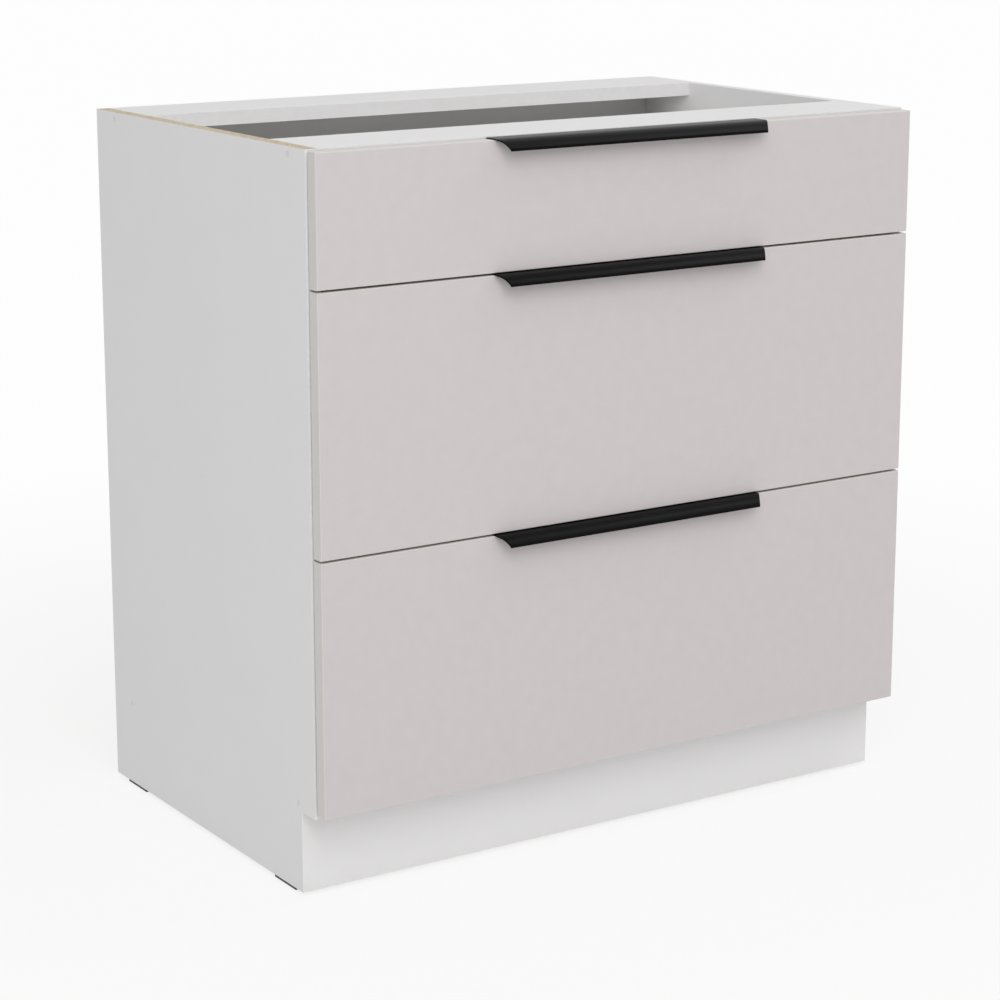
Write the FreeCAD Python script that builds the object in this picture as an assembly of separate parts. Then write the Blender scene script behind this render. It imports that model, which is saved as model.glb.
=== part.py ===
import FreeCAD, Part
import math
import os

# Base cabinet with three drawers for a fitted kitchen.
#
# The carcass is 16 mm coated chipboard: two sides with a toe recess, a bottom,
# two flat rails at the top, a plinth board and a thin grooved back. Three drawers
# with overlay fronts run on full-extension ball-bearing slides. Each slide has
# three steel channels, one inside the other, and two ball retainers between them.
#
# Millimetres. X runs to the right, Y to the rear, Z up. The origin is on the floor,
# at the middle of the width and of the whole depth, from handle lip to rear edge.
# A "depth" is a distance behind the front edges of the sides.

Vector = FreeCAD.Vector

# ---------------------------------------------------------------- driving dimensions
cabinet_width = 800.0
cabinet_height = 820.0
cabinet_depth = 500.0
board = 16.0
glide_height = 4.0

front_thickness = 16.0
front_gap = 2.5            # between one front and the next
front_side_inset = 2.0     # each side of a front
front_standoff = 2.0       # buffer gap between the fronts and the carcass
front_top_drop = 2.0       # top front's edge below the carcass top
front_heights = {"top": 142.0, "middle": 285.0, "bottom": 285.0}

rail_depth = 106.0
bottom_underside = 97.0    # height of the toe recess
toe_recess = 29.4
band = 0.8                 # plastic edge band
back_thickness = 3.0
back_inset = 10.0          # from the back panel's rear face to the rear edge
groove_depth = 8.0
groove_play = 0.1
tongue_play = 0.5          # a thin board ends this far before the bottom of its groove

handle_length = 362.0
handle_sheet = 1.5
handle_leg = 14.0          # height of the leg screwed behind the front
handle_reach = 18.6        # lip beyond the face of the front
handle_drop = 11.0         # lip below the top edge of the front
handle_curve = 15.0        # outer radius of the lip
handle_corner = (7.0, 9.6) # cut off each front corner: along the lip, and back from it

slide_length = 450.0
slide_setback = 3.0
slide_width = 12.7
slide_travel = 445.0
slide_rise = 34.0          # slide's centre above the lower edge of the drawer box

box_board = 12.0
box_bottom_thickness = 3.0
box_bottom_rise = 10.0     # groove above the lower edge of the box
box_groove_depth = 5.0
box_offset = 18.0          # lower edge of the box above the lower edge of its front
box_heights = {"top": 68.0, "middle": 190.0, "bottom": 190.0}

screw_shank = 1.75         # radius of the short screws and the front screws
dowel_radius = 4.0
box_dowel_radius = 3.0
dowel_skin = 3.0           # wood left between a dowel's hole and the outer face

# ------------------------------------------------------------------- derived places
half_width = cabinet_width / 2
inner_half = half_width - board
overall_depth = front_standoff + front_thickness + handle_reach + cabinet_depth
front_edge_y = overall_depth / 2 - cabinet_depth
rear_rail_depth = cabinet_depth - rail_depth
back_front_face = cabinet_depth - back_inset - back_thickness
rail_underside = cabinet_height - board
front_back = -front_standoff
front_face = -front_standoff - front_thickness
box_half = inner_half - slide_width
box_inner_half = box_half - box_board
box_end = slide_setback + slide_length
box_inner_front = front_back + box_board
box_inner_back = box_end - box_board
levels = ("top", "middle", "bottom")

front_bottoms = {}
next_top = cabinet_height - front_top_drop
for level in levels:
    front_bottoms[level] = next_top - front_heights[level]
    next_top = front_bottoms[level] - front_gap

pieces = {}


# ---------------------------------------------------------------------- small tools
def block(x_range, depth_range, z_range):
    """Square-edged board between two widths, two depths and two heights."""
    size = [high - low for low, high in (x_range, depth_range, z_range)]
    corner = Vector(x_range[0], front_edge_y + depth_range[0], z_range[0])
    return Part.makeBox(size[0], size[1], size[2], corner)


def both_sides(shape):
    """The shape and its mirror image on the other side of the cabinet."""
    return [shape, shape.mirror(Vector(0, 0, 0), Vector(1, 0, 0))]


def rod(start, direction, radius, length, sides):
    """Straight rod of a few sides, from a start point along a direction."""
    corners = []
    for step in range(sides + 1):
        turn = 2 * math.pi * step / sides
        corners.append(Vector(radius * math.cos(turn), radius * math.sin(turn), 0))
    prism = Part.Face(Part.makePolygon(corners)).extrude(Vector(0, 0, length))
    prism.Placement = FreeCAD.Placement(start, FreeCAD.Rotation(Vector(0, 0, 1), direction))
    return prism


def screw(start, direction, length, shank_radius, head_radius, head_height, sides=6):
    """Screw whose head starts at a point and whose tip lies along the direction."""
    head = rod(start, direction, head_radius, head_height, sides)
    shank = rod(start, direction, shank_radius, length, sides)
    return head.fuse(shank).removeSplitter()


def short_screw(start, direction):
    """Countersunk screw of the slides, handles and plinth blocks, its head sunk flush."""
    length = 12.5
    head_radius = 3.2
    head_height = 1.0
    return screw(start, direction, length, screw_shank, head_radius, head_height)


def cut_away(names, tools):
    """Cut the tools' shapes out of the named pieces, so that each seats in its hole."""
    for name in names:
        for tool in tools:
            if pieces[name].BoundBox.intersect(tool.BoundBox):
                pieces[name] = pieces[name].cut(tool)


def at(x, depth, z):
    """Point at a width, a depth behind the carcass's front edge and a height."""
    return Vector(x, front_edge_y + depth, z)


# -------------------------------------------------------------------- bent sheet metal
bend_step = 28.0           # degrees per flat; a flat leaves the true bend by under 0.1 mm


def bend(centre, radius, first_angle, last_angle):
    """Points of a sheet's middle line round a bend, between two angles in degrees."""
    flats = max(1, round(abs(last_angle - first_angle) / bend_step))
    points = []
    for step in range(flats + 1):
        turn = math.radians(first_angle + (last_angle - first_angle) * step / flats)
        points.append((centre[0] + radius * math.cos(turn), centre[1] + radius * math.sin(turn)))
    return points


def beside(path, offset):
    """The path's points moved to the left of its run, so that each stretch keeps the offset."""
    normals = []
    for (x0, z0), (x1, z1) in zip(path, path[1:]):
        run = math.hypot(x1 - x0, z1 - z0)
        normals.append((-(z1 - z0) / run, (x1 - x0) / run))
    before = normals[:1] + normals
    after = normals + normals[-1:]
    moved = []
    for (x, z), (ax, az), (bx, bz) in zip(path, before, after):
        reach = offset / (1 + ax * bx + az * bz)
        moved.append(Vector(x + (ax + bx) * reach, 0, z + (az + bz) * reach))
    return moved


def bent_sheet(path, thickness, length, place):
    """Sheet bent along a middle line in the XZ plane and drawn out to the rear."""
    joined = [point for point, following in zip(path, path[1:]) if math.dist(point, following) > 0.01]
    joined.append(path[-1])
    outline = beside(joined, thickness / 2) + beside(joined, -thickness / 2)[::-1]
    solid = Part.Face(Part.makePolygon(outline + outline[:1])).extrude(Vector(0, length, 0))
    solid.translate(place)
    return solid


# -------------------------------------------------------------------------- carcass
def make_sides():
    """Sides with the toe recess at the foot and a groove for the back."""
    edge = band
    recess = toe_recess + band
    outline = [
        (edge, bottom_underside),
        (edge, cabinet_height),
        (cabinet_depth, cabinet_height),
        (cabinet_depth, glide_height),
        (recess, glide_height),
        (recess, bottom_underside),
    ]
    points = [at(-half_width, depth, z) for depth, z in outline]
    panel = Part.Face(Part.makePolygon(points + points[:1])).extrude(Vector(board, 0, 0))
    groove = block(
        (-inner_half - groove_depth, -inner_half),
        (back_front_face - groove_play, back_front_face + back_thickness + groove_play),
        (glide_height, rail_underside + board / 4),
    )
    pieces["side_panel_left"], pieces["side_panel_right"] = both_sides(panel.cut(groove))


def make_inner_boards():
    """Bottom, two top rails, plinth board and back, held between the sides."""
    between = (-inner_half, inner_half)
    top = (rail_underside, cabinet_height)
    pieces["bottom_panel"] = block(
        between, (band, back_front_face), (bottom_underside, bottom_underside + board)
    )
    pieces["front_rail"] = block(between, (band, rail_depth), top)
    rear_rail = block(between, (rear_rail_depth + band, cabinet_depth), top)
    rail_groove = block(
        between,
        (back_front_face - groove_play, back_front_face + back_thickness + groove_play),
        (rail_underside, rail_underside + board / 4),
    )
    pieces["rear_rail"] = rear_rail.cut(rail_groove)
    pieces["plinth_board"] = block(
        between, (toe_recess, toe_recess + board), (glide_height, bottom_underside)
    )
    back_half = inner_half + groove_depth - tongue_play
    pieces["back_panel"] = block(
        (-back_half, back_half),
        (back_front_face, back_front_face + back_thickness),
        (bottom_underside, rail_underside + board / 4 - tongue_play),
    )


def make_edge_bands():
    """Thin plastic bands on every front edge that can be seen."""
    side_x = (-half_width, -inner_half)
    between = (-inner_half, inner_half)
    bands = both_sides(block(side_x, (0, band), (bottom_underside, cabinet_height)))
    bands += both_sides(
        block(side_x, (toe_recess, toe_recess + band), (glide_height, bottom_underside))
    )
    bands.append(block(between, (0, band), (bottom_underside, bottom_underside + board)))
    bands.append(block(between, (0, band), (rail_underside, cabinet_height)))
    rear_edge = (rear_rail_depth, rear_rail_depth + band)
    bands.append(block(between, rear_edge, (rail_underside, cabinet_height)))
    pieces["edge_bands"] = Part.makeCompound(bands)


def make_glides():
    """Flat plastic glides with a pin, pressed into the lower edges of the sides."""
    length = 47.0
    width = 15.0
    pin_radius = 2.5
    pin_length = 10.0
    pin_overlap = 1.0
    foot_chamfer = 1.2
    outer_edge = -half_width + (board - width) / 2
    glide_depths = (72.0, 446.0)
    glides = []
    for middle in glide_depths:
        x_range = (outer_edge, outer_edge + width)
        depths = (middle - length / 2, middle + length / 2)
        plate = block(x_range, depths, (0, glide_height))
        ground_edges = [edge for edge in plate.Edges if edge.BoundBox.ZMax < 0.01]
        plate = plate.makeChamfer(foot_chamfer, ground_edges)
        pin_foot = at(-half_width + board / 2, middle, glide_height - pin_overlap)
        pin = rod(pin_foot, Vector(0, 0, 1), pin_radius, pin_length + pin_overlap, 6)
        glides += both_sides(plate.fuse(pin).removeSplitter())
    pieces["foot_glides"] = Part.makeCompound(glides)
    cut_away(["side_panel_left", "side_panel_right"], glides)


def make_carcass_fasteners():
    """One-piece connectors under flush caps, and wooden dowels beside them."""
    connector_depths = (37.0, 453.0)
    connector_length = 50.0
    connector_radius = 2.5
    connector_head = 3.5
    connector_head_height = 4.0
    cap_thickness = 1.2
    cap_radius = 3.8
    rail_middle = rail_underside + board / 2
    bottom_middle = bottom_underside + board / 2
    connectors = []
    caps = []
    inward = Vector(1, 0, 0)
    for height in (rail_middle, bottom_middle):
        for depth in connector_depths:
            head = at(-half_width + cap_thickness, depth, height)
            length = connector_length - cap_thickness
            body = screw(
                head, inward, length, connector_radius, connector_head, connector_head_height
            )
            connectors += both_sides(body)
            cap = rod(at(-half_width, depth, height), inward, cap_radius, cap_thickness, 8)
            caps += both_sides(cap)
    dowel_length = 30.0
    rail_dowel_depths = (85.0, 415.0)
    bottom_dowel_depths = (150.0, 300.0)
    dowel_places = [(depth, rail_middle) for depth in rail_dowel_depths]
    dowel_places += [(depth, bottom_middle) for depth in bottom_dowel_depths]
    dowels = []
    for depth, height in dowel_places:
        end = at(-inner_half - dowel_length / 2 + dowel_skin, depth, height)
        dowels += both_sides(rod(end, inward, dowel_radius, dowel_length, 6))
    pieces["carcass_screws"] = Part.makeCompound(connectors)
    pieces["screw_caps"] = Part.makeCompound(caps)
    pieces["carcass_dowels"] = Part.makeCompound(dowels)
    holed = ["side_panel_left", "side_panel_right", "bottom_panel", "front_rail", "rear_rail"]
    cut_away(holed, connectors + caps + dowels)


def make_plinth_blocks(short_screws):
    """Ribbed plastic angles that tie the plinth to the sides and to the bottom."""
    leg = 24.0
    wall = 3.0
    width = 26.0
    rib_thickness = 2.5
    rib_inset = 2.0
    block_height = 35.0        # lower end of the side blocks above the floor
    inside = toe_recess + board
    outline = [(0, 0), (leg, 0), (leg, wall), (wall, wall), (wall, leg), (0, leg)]
    rib = [(wall, wall), (leg - rib_inset, wall), (wall, leg - rib_inset)]

    def angle_piece(corner, along_first, along_second, across):
        """L-shaped angle with a rib in its middle, set in a corner by three directions."""
        shapes = []
        rib_start = (width - rib_thickness) / 2
        for points, start, thickness in ((outline, 0.0, width), (rib, rib_start, rib_thickness)):
            ring = []
            for a, b in points + points[:1]:
                ring.append(corner + along_first * a + along_second * b + across * start)
            shapes.append(Part.Face(Part.makePolygon(ring)).extrude(across * thickness))
        return shapes[0].fuse(shapes[1]).removeSplitter()

    rearward = Vector(0, 1, 0)
    forward = Vector(0, -1, 0)
    right = Vector(1, 0, 0)
    left = Vector(-1, 0, 0)
    up = Vector(0, 0, 1)
    down = Vector(0, 0, -1)
    side_corner = at(-inner_half, inside, block_height)
    under_corner = at(-width / 2, inside, bottom_underside)
    side_block = angle_piece(side_corner, right, rearward, up)
    under_block = angle_piece(under_corner, down, rearward, right)
    off_rib = (width - rib_thickness) / 4    # middle of the wall on one side of the rib
    reach = leg * 0.62
    screws = []
    for head, direction in (
        (side_corner + right * reach + rearward * wall + up * off_rib, forward),
        (side_corner + rearward * reach + right * wall + up * off_rib, left),
    ):
        screws += both_sides(short_screw(head, direction))
    for head, direction in (
        (under_corner + down * reach + rearward * wall + right * off_rib, forward),
        (under_corner + rearward * reach + down * wall + right * off_rib, up),
    ):
        screws.append(short_screw(head, direction))
    blocks = []
    for piece in both_sides(side_block) + [under_block]:
        for fastener in screws:
            if piece.BoundBox.intersect(fastener.BoundBox):
                piece = piece.cut(fastener)
        blocks.append(piece)
    pieces["plinth_blocks"] = Part.makeCompound(blocks)
    cut_away(["plinth_board", "side_panel_left", "side_panel_right", "bottom_panel"], screws)
    short_screws += screws


# ------------------------------------------------------------- ball-bearing slides
# The section of a slide is drawn as (x, z), with x from the cabinet's wall towards
# the drawer and z from the slide's middle. Races are concentric with the ball rows.
steel = 1.2
retainer_sheet = 0.45
outer_wrap = 40.0          # angles at which a race ends round its balls
inner_wrap = 10.0
drawer_wrap = 215.0
race = 2.65                # radius of a race, at the middle of the sheet
outer_ball = (4.05, 19.15) # ball row between cabinet channel and middle channel
row_angle = -40.0          # direction from the outer ball row to the inner one
inner_ball = (
    outer_ball[0] + 2 * race * math.cos(math.radians(row_angle)),
    outer_ball[1] + 2 * race * math.sin(math.radians(row_angle)),
)


def channel(flange):
    """Full channel: the flange upside down, the upright web and the flange."""
    lower = [(x, -z) for x, z in reversed(flange)]
    return lower + flange


def cabinet_channel():
    """Channel on the cabinet's wall; its lips wrap over the outer balls."""
    web_x = steel / 2
    race_x = outer_ball[0] - race
    joggle = 1.5
    race_lead = 0.25           # straight stretch of the flange before the race
    joggle_angle = math.degrees(math.acos(1 - (race_x - web_x) / (2 * joggle)))
    joggle_rise = 2 * joggle * math.sin(math.radians(joggle_angle))
    web_half = outer_ball[1] - race_lead - joggle_rise
    joggle_top = web_half + joggle_rise
    flange = bend((web_x + joggle, web_half), joggle, 180, 180 - joggle_angle)
    flange += bend((race_x - joggle, joggle_top), joggle, -joggle_angle, 0)
    flange += bend(outer_ball, race, 180, outer_wrap)
    return channel(flange)


def middle_channel():
    """Channel that rides on the outer balls and carries the inner ones in an S."""
    corner = 1.05
    web_half = outer_ball[1] - race - corner
    flange = bend((outer_ball[0], web_half), corner, 180, 90)
    flange += bend(outer_ball, race, 270, 360 + row_angle)
    flange += bend(inner_ball, race, 180 + row_angle, inner_wrap)
    return channel(flange)


def drawer_channel():
    """Channel screwed to the drawer; its flanges turn back under the inner balls."""
    corner = 1.5
    web_x = slide_width - steel / 2
    web_half = inner_ball[1] - race - corner
    flange = bend((web_x - corner, web_half), corner, 0, 90)
    flange += bend(inner_ball, race, 270, drawer_wrap)
    return channel(flange)


def outer_retainer():
    """Sheet that spaces the outer balls, bent round from between the two webs."""
    web_x = 1.8
    corner = 2.95
    past_balls = 2.15          # legs end this far beyond the middle of the balls
    web_half = outer_ball[1] - corner
    flange = bend((web_x + corner, web_half), corner, 180, 90)
    flange.append((outer_ball[0] + past_balls, outer_ball[1]))
    return channel(flange)


def inner_retainer():
    """Sheet that spaces the inner balls, with its legs under the S of the middle channel."""
    web_x = 4.45
    corner = 0.8
    past_balls = 1.7
    below_balls = 0.36         # legs run a little below the middle of the balls
    leg_height = inner_ball[1] - below_balls
    flange = bend((web_x + corner, leg_height - corner), corner, 180, 90)
    flange.append((inner_ball[0] + past_balls, leg_height))
    return channel(flange)


def slide_height(level):
    """Height of the middle of a drawer's slides above the floor."""
    return front_bottoms[level] + box_offset + slide_rise


def make_slides(short_screws):
    """The five drawn sections of each slide, on both sides of each drawer."""
    retainer_share = 0.48      # of the slide's length
    first_hole = 34.0
    last_hole = 258.0
    retainer_length = slide_length * retainer_share
    retainer_start = slide_setback + (slide_length - retainer_length) / 2
    fixing_depths = (slide_setback + first_hole, slide_setback + last_hole)
    sections = {
        "cabinet_slides": (cabinet_channel(), steel, slide_setback, slide_length),
        "middle_slides": (middle_channel(), steel, slide_setback, slide_length),
        "drawer_slides": (drawer_channel(), steel, slide_setback, slide_length),
        "outer_ball_cages": (outer_retainer(), retainer_sheet, retainer_start, retainer_length),
        "inner_ball_cages": (inner_retainer(), retainer_sheet, retainer_start, retainer_length),
    }
    for level in levels:
        for name, (path, thickness, start, length) in sections.items():
            place = at(-inner_half, start, slide_height(level))
            member = bent_sheet(path, thickness, length, place)
            pieces[name + "_" + level] = Part.makeCompound(both_sides(member))
        screws = []
        for depth in fixing_depths:
            head = at(-inner_half + steel, depth, slide_height(level))
            screws += both_sides(short_screw(head, Vector(-1, 0, 0)))
        cut_away(["cabinet_slides_" + level, "side_panel_left", "side_panel_right"], screws)
        short_screws += screws


# -------------------------------------------------------------------------- drawers
def make_front(level):
    """Overlay front with its four face edges rounded over the band."""
    edge_radius = 1.0
    half = half_width - front_side_inset
    low = front_bottoms[level]
    panel = block((-half, half), (front_face, front_back), (low, low + front_heights[level]))
    face_y = front_edge_y + front_face
    face_edges = [edge for edge in panel.Edges if edge.BoundBox.YMax < face_y + 0.01]
    pieces["drawer_front_" + level] = panel.makeFillet(edge_radius, face_edges)


def make_handle(level):
    """Edge pull: a sheet hooked over the front, with a curved lip and cut corners."""
    half = handle_length / 2
    top = front_bottoms[level] + front_heights[level]
    upper = top + handle_sheet
    leg_back = front_back + handle_sheet
    tip = front_face - handle_reach
    tip_low = top - handle_drop
    outer = handle_curve
    inner = handle_curve - handle_sheet
    fall = upper - tip_low
    turn = math.acos(1 - fall / outer)
    curve_start = tip + outer * math.sin(turn)
    centre_z = upper - outer

    def on_curve(radius, angle):
        """Point of the lip's arc, by its radius and its angle from the vertical."""
        return at(-half, curve_start - radius * math.sin(angle), centre_z + radius * math.cos(angle))

    corners = [
        at(-half, front_back, top - handle_leg),
        at(-half, leg_back, top - handle_leg),
        at(-half, leg_back, upper),
        on_curve(outer, 0),
        on_curve(outer, turn),
        on_curve(inner, turn),
        on_curve(inner, 0),
        at(-half, front_back, top),
    ]
    edges = []
    for index, corner in enumerate(corners):
        following = corners[(index + 1) % len(corners)]
        if index == 3:
            edges.append(Part.Arc(corner, on_curve(outer, turn / 2), following).toShape())
        elif index == 5:
            edges.append(Part.Arc(corner, on_curve(inner, turn / 2), following).toShape())
        else:
            edges.append(Part.LineSegment(corner, following).toShape())
    profile = Part.Face(Part.Wire(Part.__sortEdges__(edges)))
    pull = profile.extrude(Vector(handle_length, 0, 0))
    along, back = handle_corner
    spare = 0.2
    wedge_x = (-half - along * spare, -half + along * (1 + spare))
    wedge_depths = (tip - back * spare, tip + back * (1 + spare))
    corner_points = [
        at(wedge_x[0], wedge_depths[1], tip_low),
        at(wedge_x[0], wedge_depths[0], tip_low),
        at(wedge_x[1], wedge_depths[0], tip_low),
    ]
    wedge_face = Part.Face(Part.makePolygon(corner_points + corner_points[:1]))
    for cutter in both_sides(wedge_face.extrude(Vector(0, 0, fall))):
        pull = pull.cut(cutter)
    pieces["handle_" + level] = pull


def make_box(level):
    """Drawer box: grooved sides, front and back boards round a thin bottom."""
    low = front_bottoms[level] + box_offset
    heights = (low, low + box_heights[level])
    groove_heights = (
        low + box_bottom_rise - groove_play / 2,
        low + box_bottom_rise + box_bottom_thickness + groove_play / 2,
    )
    side = block((-box_half, -box_inner_half), (front_back, box_end), heights)
    side_groove = block(
        (-box_inner_half - box_groove_depth, -box_inner_half), (front_back, box_end), groove_heights
    )
    sides = both_sides(side.cut(side_groove))
    pieces["box_side_left_" + level], pieces["box_side_right_" + level] = sides
    between = (-box_inner_half, box_inner_half)
    front = block(between, (front_back, box_inner_front), heights)
    front_groove = block(
        between, (box_inner_front - box_groove_depth, box_inner_front), groove_heights
    )
    pieces["box_front_" + level] = front.cut(front_groove)
    back = block(between, (box_inner_back, box_end), heights)
    back_groove = block(
        between, (box_inner_back, box_inner_back + box_groove_depth), groove_heights
    )
    pieces["box_back_" + level] = back.cut(back_groove)
    tongue = box_groove_depth - tongue_play
    pieces["box_bottom_" + level] = block(
        (-box_inner_half - tongue, box_inner_half + tongue),
        (box_inner_front - tongue, box_inner_back + tongue),
        (low + box_bottom_rise, low + box_bottom_rise + box_bottom_thickness),
    )


def make_drawer_fasteners(level):
    """Dowels of the box corners, and screws of the front, the handle and the channels."""
    low = front_bottoms[level] + box_offset
    high = low + box_heights[level]
    dowel_length = 25.0
    dowel_heights = (low + 22.0, high - 14.0)
    screw_heights = (low + 26.0, high - 16.0)
    dowels = []
    for depth in (front_back + box_board / 2, box_end - box_board / 2):
        for height in dowel_heights:
            start = at(-box_half + dowel_skin, depth, height)
            dowels += both_sides(rod(start, Vector(1, 0, 0), box_dowel_radius, dowel_length, 6))
    pieces["box_dowels_" + level] = Part.makeCompound(dowels)
    corners = ["box_side_left_", "box_side_right_", "box_front_", "box_back_"]
    cut_away([name + level for name in corners], dowels)

    forward = Vector(0, -1, 0)
    screw_x = -box_inner_half * 0.7
    screw_length = 25.0
    head_radius = 3.5
    head_height = 1.5
    front_screws = []
    for height in screw_heights:
        start = at(screw_x, box_inner_front, height)
        fastener = screw(start, forward, screw_length, screw_shank, head_radius, head_height)
        front_screws += both_sides(fastener)
    pieces["front_screws_" + level] = Part.makeCompound(front_screws)
    cut_away(["box_front_" + level, "drawer_front_" + level], front_screws)

    short_screws = []
    web_face = -inner_half + slide_width - steel
    first_hole = 50.0
    last_hole = 350.0
    for depth in (slide_setback + first_hole, slide_setback + last_hole):
        short_screws += both_sides(
            short_screw(at(web_face, depth, slide_height(level)), Vector(1, 0, 0))
        )
    top = front_bottoms[level] + front_heights[level]
    screw_from_middle = handle_length * 0.375
    leg_back = front_back + handle_sheet
    handle_screw = at(screw_from_middle, leg_back, top - handle_leg / 2)
    short_screws += both_sides(short_screw(handle_screw, forward))
    pieces["short_screws_" + level] = Part.makeCompound(short_screws)
    holed = ["box_side_left_", "box_side_right_", "drawer_slides_", "handle_", "drawer_front_"]
    cut_away([name + level for name in holed], short_screws)


# --------------------------------------------------------------------- the whole part
make_sides()
make_inner_boards()
make_edge_bands()
make_glides()
make_carcass_fasteners()
carcass_short_screws = []
make_plinth_blocks(carcass_short_screws)
make_slides(carcass_short_screws)
pieces["short_screws_carcass"] = Part.makeCompound(carcass_short_screws)
for level in levels:
    make_front(level)
    make_handle(level)
    make_box(level)
    make_drawer_fasteners(level)

os.makedirs("parts", exist_ok=True)
for name, shape in pieces.items():
    shape.exportStep(os.path.join("parts", name + ".step"))
    print(name, "solids:", len(shape.Solids), "volume:", round(shape.Volume / 1000, 1), "cm3")
print("nodes:", len(pieces))
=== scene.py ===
# %% [markdown]
# # A base cabinet with three drawers
# The boards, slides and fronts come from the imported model, which already has every
# piece at its real size. This script gives them their finishes, adds what is too small
# or too curved for flat-faced solids, and sets up a plain white studio.
# Units are metres. X runs to the right, Y to the rear and Z up, with the origin on the
# floor under the middle of the cabinet.

# %% Load the frame
import math

import bmesh
import bpy
import numpy as np
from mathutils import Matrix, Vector


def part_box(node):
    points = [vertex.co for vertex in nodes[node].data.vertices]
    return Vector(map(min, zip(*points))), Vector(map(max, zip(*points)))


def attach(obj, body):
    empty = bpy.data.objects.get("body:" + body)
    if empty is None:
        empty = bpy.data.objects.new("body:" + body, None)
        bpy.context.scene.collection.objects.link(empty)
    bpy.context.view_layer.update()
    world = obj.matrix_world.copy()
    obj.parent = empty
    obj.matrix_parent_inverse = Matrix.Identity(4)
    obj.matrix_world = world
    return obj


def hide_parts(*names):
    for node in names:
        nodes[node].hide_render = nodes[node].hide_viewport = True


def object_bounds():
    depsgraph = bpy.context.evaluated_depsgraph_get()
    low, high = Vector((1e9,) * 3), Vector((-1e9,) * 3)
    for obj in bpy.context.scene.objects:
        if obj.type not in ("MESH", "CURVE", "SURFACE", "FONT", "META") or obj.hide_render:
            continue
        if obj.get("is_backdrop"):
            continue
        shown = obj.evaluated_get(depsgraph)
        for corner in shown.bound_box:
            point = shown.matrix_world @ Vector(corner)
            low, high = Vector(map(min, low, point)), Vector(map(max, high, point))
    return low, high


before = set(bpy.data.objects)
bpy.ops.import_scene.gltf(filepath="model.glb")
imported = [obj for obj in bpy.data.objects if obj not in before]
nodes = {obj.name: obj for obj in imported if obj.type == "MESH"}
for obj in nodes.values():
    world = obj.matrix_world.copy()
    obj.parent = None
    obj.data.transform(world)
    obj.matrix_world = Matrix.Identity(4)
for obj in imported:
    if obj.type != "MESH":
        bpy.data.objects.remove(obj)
cad_low, cad_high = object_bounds()
levels = ("top", "middle", "bottom")
millimetre = 0.001
print("CAD nodes:", len(nodes), "box:", tuple(cad_low), tuple(cad_high))

# %% [markdown]
# ## Colours as they look on a screen
# Paint charts and screens give a colour in three steps from 0 to 255 that are spaced for
# the eye. The renderer works with amounts of light, so each step is turned into light
# once, here, and every finish below can be written in the familiar numbers.


# %% Screen colours
def colour(red, green, blue):
    """Light amounts of a screen colour c = step / 255: ((c + 0.055) / 1.055) to the power 2.4."""
    steps = np.array([red, green, blue]) / 255
    light = ((steps + 0.055) / 1.055) ** 2.4
    return (*light.tolist(), 1.0)


white_film = colour(238, 237, 237)
print("white film reflects", round(white_film[0], 3), "of the light")

# %% [markdown]
# ## A few steps that every finish shares
# A finish starts as a plain glossy or matt shader. Patterns could come from pictures laid
# over the surface. Here they lie on the object's own coordinates in metres, so that a chip
# of wood or a grain of powder has its real size and stays in place when a drawer moves.


# %% Start a finish
def start_finish(name, base, roughness, metallic=0.0):
    """New material with a plain shader, and the object's coordinates to lay patterns on."""
    finish = bpy.data.materials.new(name)
    finish.use_nodes = True
    shader = finish.node_tree.nodes["Principled BSDF"]
    shader.inputs["Base Color"].default_value = base
    shader.inputs["Roughness"].default_value = roughness
    shader.inputs["Metallic"].default_value = metallic
    place = finish.node_tree.nodes.new("ShaderNodeTexCoord").outputs["Object"]
    return finish, shader, place


def link(finish, source, target):
    """Joins an output to an input."""
    finish.node_tree.links.new(source, target)


# %% [markdown]
# Three patterns do for all the finishes: soft noise for clouds and grain, cells for chips of
# wood, and either of them squeezed or drawn out along an axis by scaling its coordinates.


# %% Patterns
def stretched(finish, place, scale):
    """Coordinates multiplied by three scales, which squeezes or draws out a pattern."""
    mapping = finish.node_tree.nodes.new("ShaderNodeMapping")
    mapping.inputs["Scale"].default_value = scale
    link(finish, place, mapping.inputs["Vector"])
    return mapping.outputs["Vector"]


def noise(finish, place, scale, detail=2.0):
    """Soft random value from 0 to 1, with about `scale` blobs to the metre."""
    texture = finish.node_tree.nodes.new("ShaderNodeTexNoise")
    texture.inputs["Scale"].default_value = scale
    texture.inputs["Detail"].default_value = detail
    link(finish, place, texture.inputs["Vector"])
    return texture.outputs["Fac"]


def chips(finish, place, scale):
    """One random grey value for each cell of a cell pattern, as for chips of wood."""
    texture = finish.node_tree.nodes.new("ShaderNodeTexVoronoi")
    texture.inputs["Scale"].default_value = scale
    link(finish, place, texture.inputs["Vector"])
    return texture.outputs["Color"]


# %% [markdown]
# A pattern is a value from 0 to 1. A ramp turns it into a colour, a mix lays one colour over
# another where a mask is 1, and sums on values make the masks, such as the distance of a
# point from the middle of a board.


# %% Colours and masks
def between(finish, value, low, high, first, second):
    """Colour that runs from `first` where the value is low to `second` where it is high."""
    ramp = finish.node_tree.nodes.new("ShaderNodeValToRGB")
    ramp.color_ramp.elements[0].position = low
    ramp.color_ramp.elements[0].color = first
    ramp.color_ramp.elements[1].position = high
    ramp.color_ramp.elements[1].color = second
    link(finish, value, ramp.inputs["Fac"])
    return ramp.outputs["Color"]


def mixed(finish, factor, first, second):
    """First colour where the factor is 0 and second where it is 1; either may be an output."""
    mix = finish.node_tree.nodes.new("ShaderNodeMix")
    mix.data_type = "RGBA"
    link(finish, factor, mix.inputs["Factor"])
    for source, target in ((first, mix.inputs["A"]), (second, mix.inputs["B"])):
        if isinstance(source, tuple):
            target.default_value = source
        else:
            link(finish, source, target)
    return mix.outputs["Result"]


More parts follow.
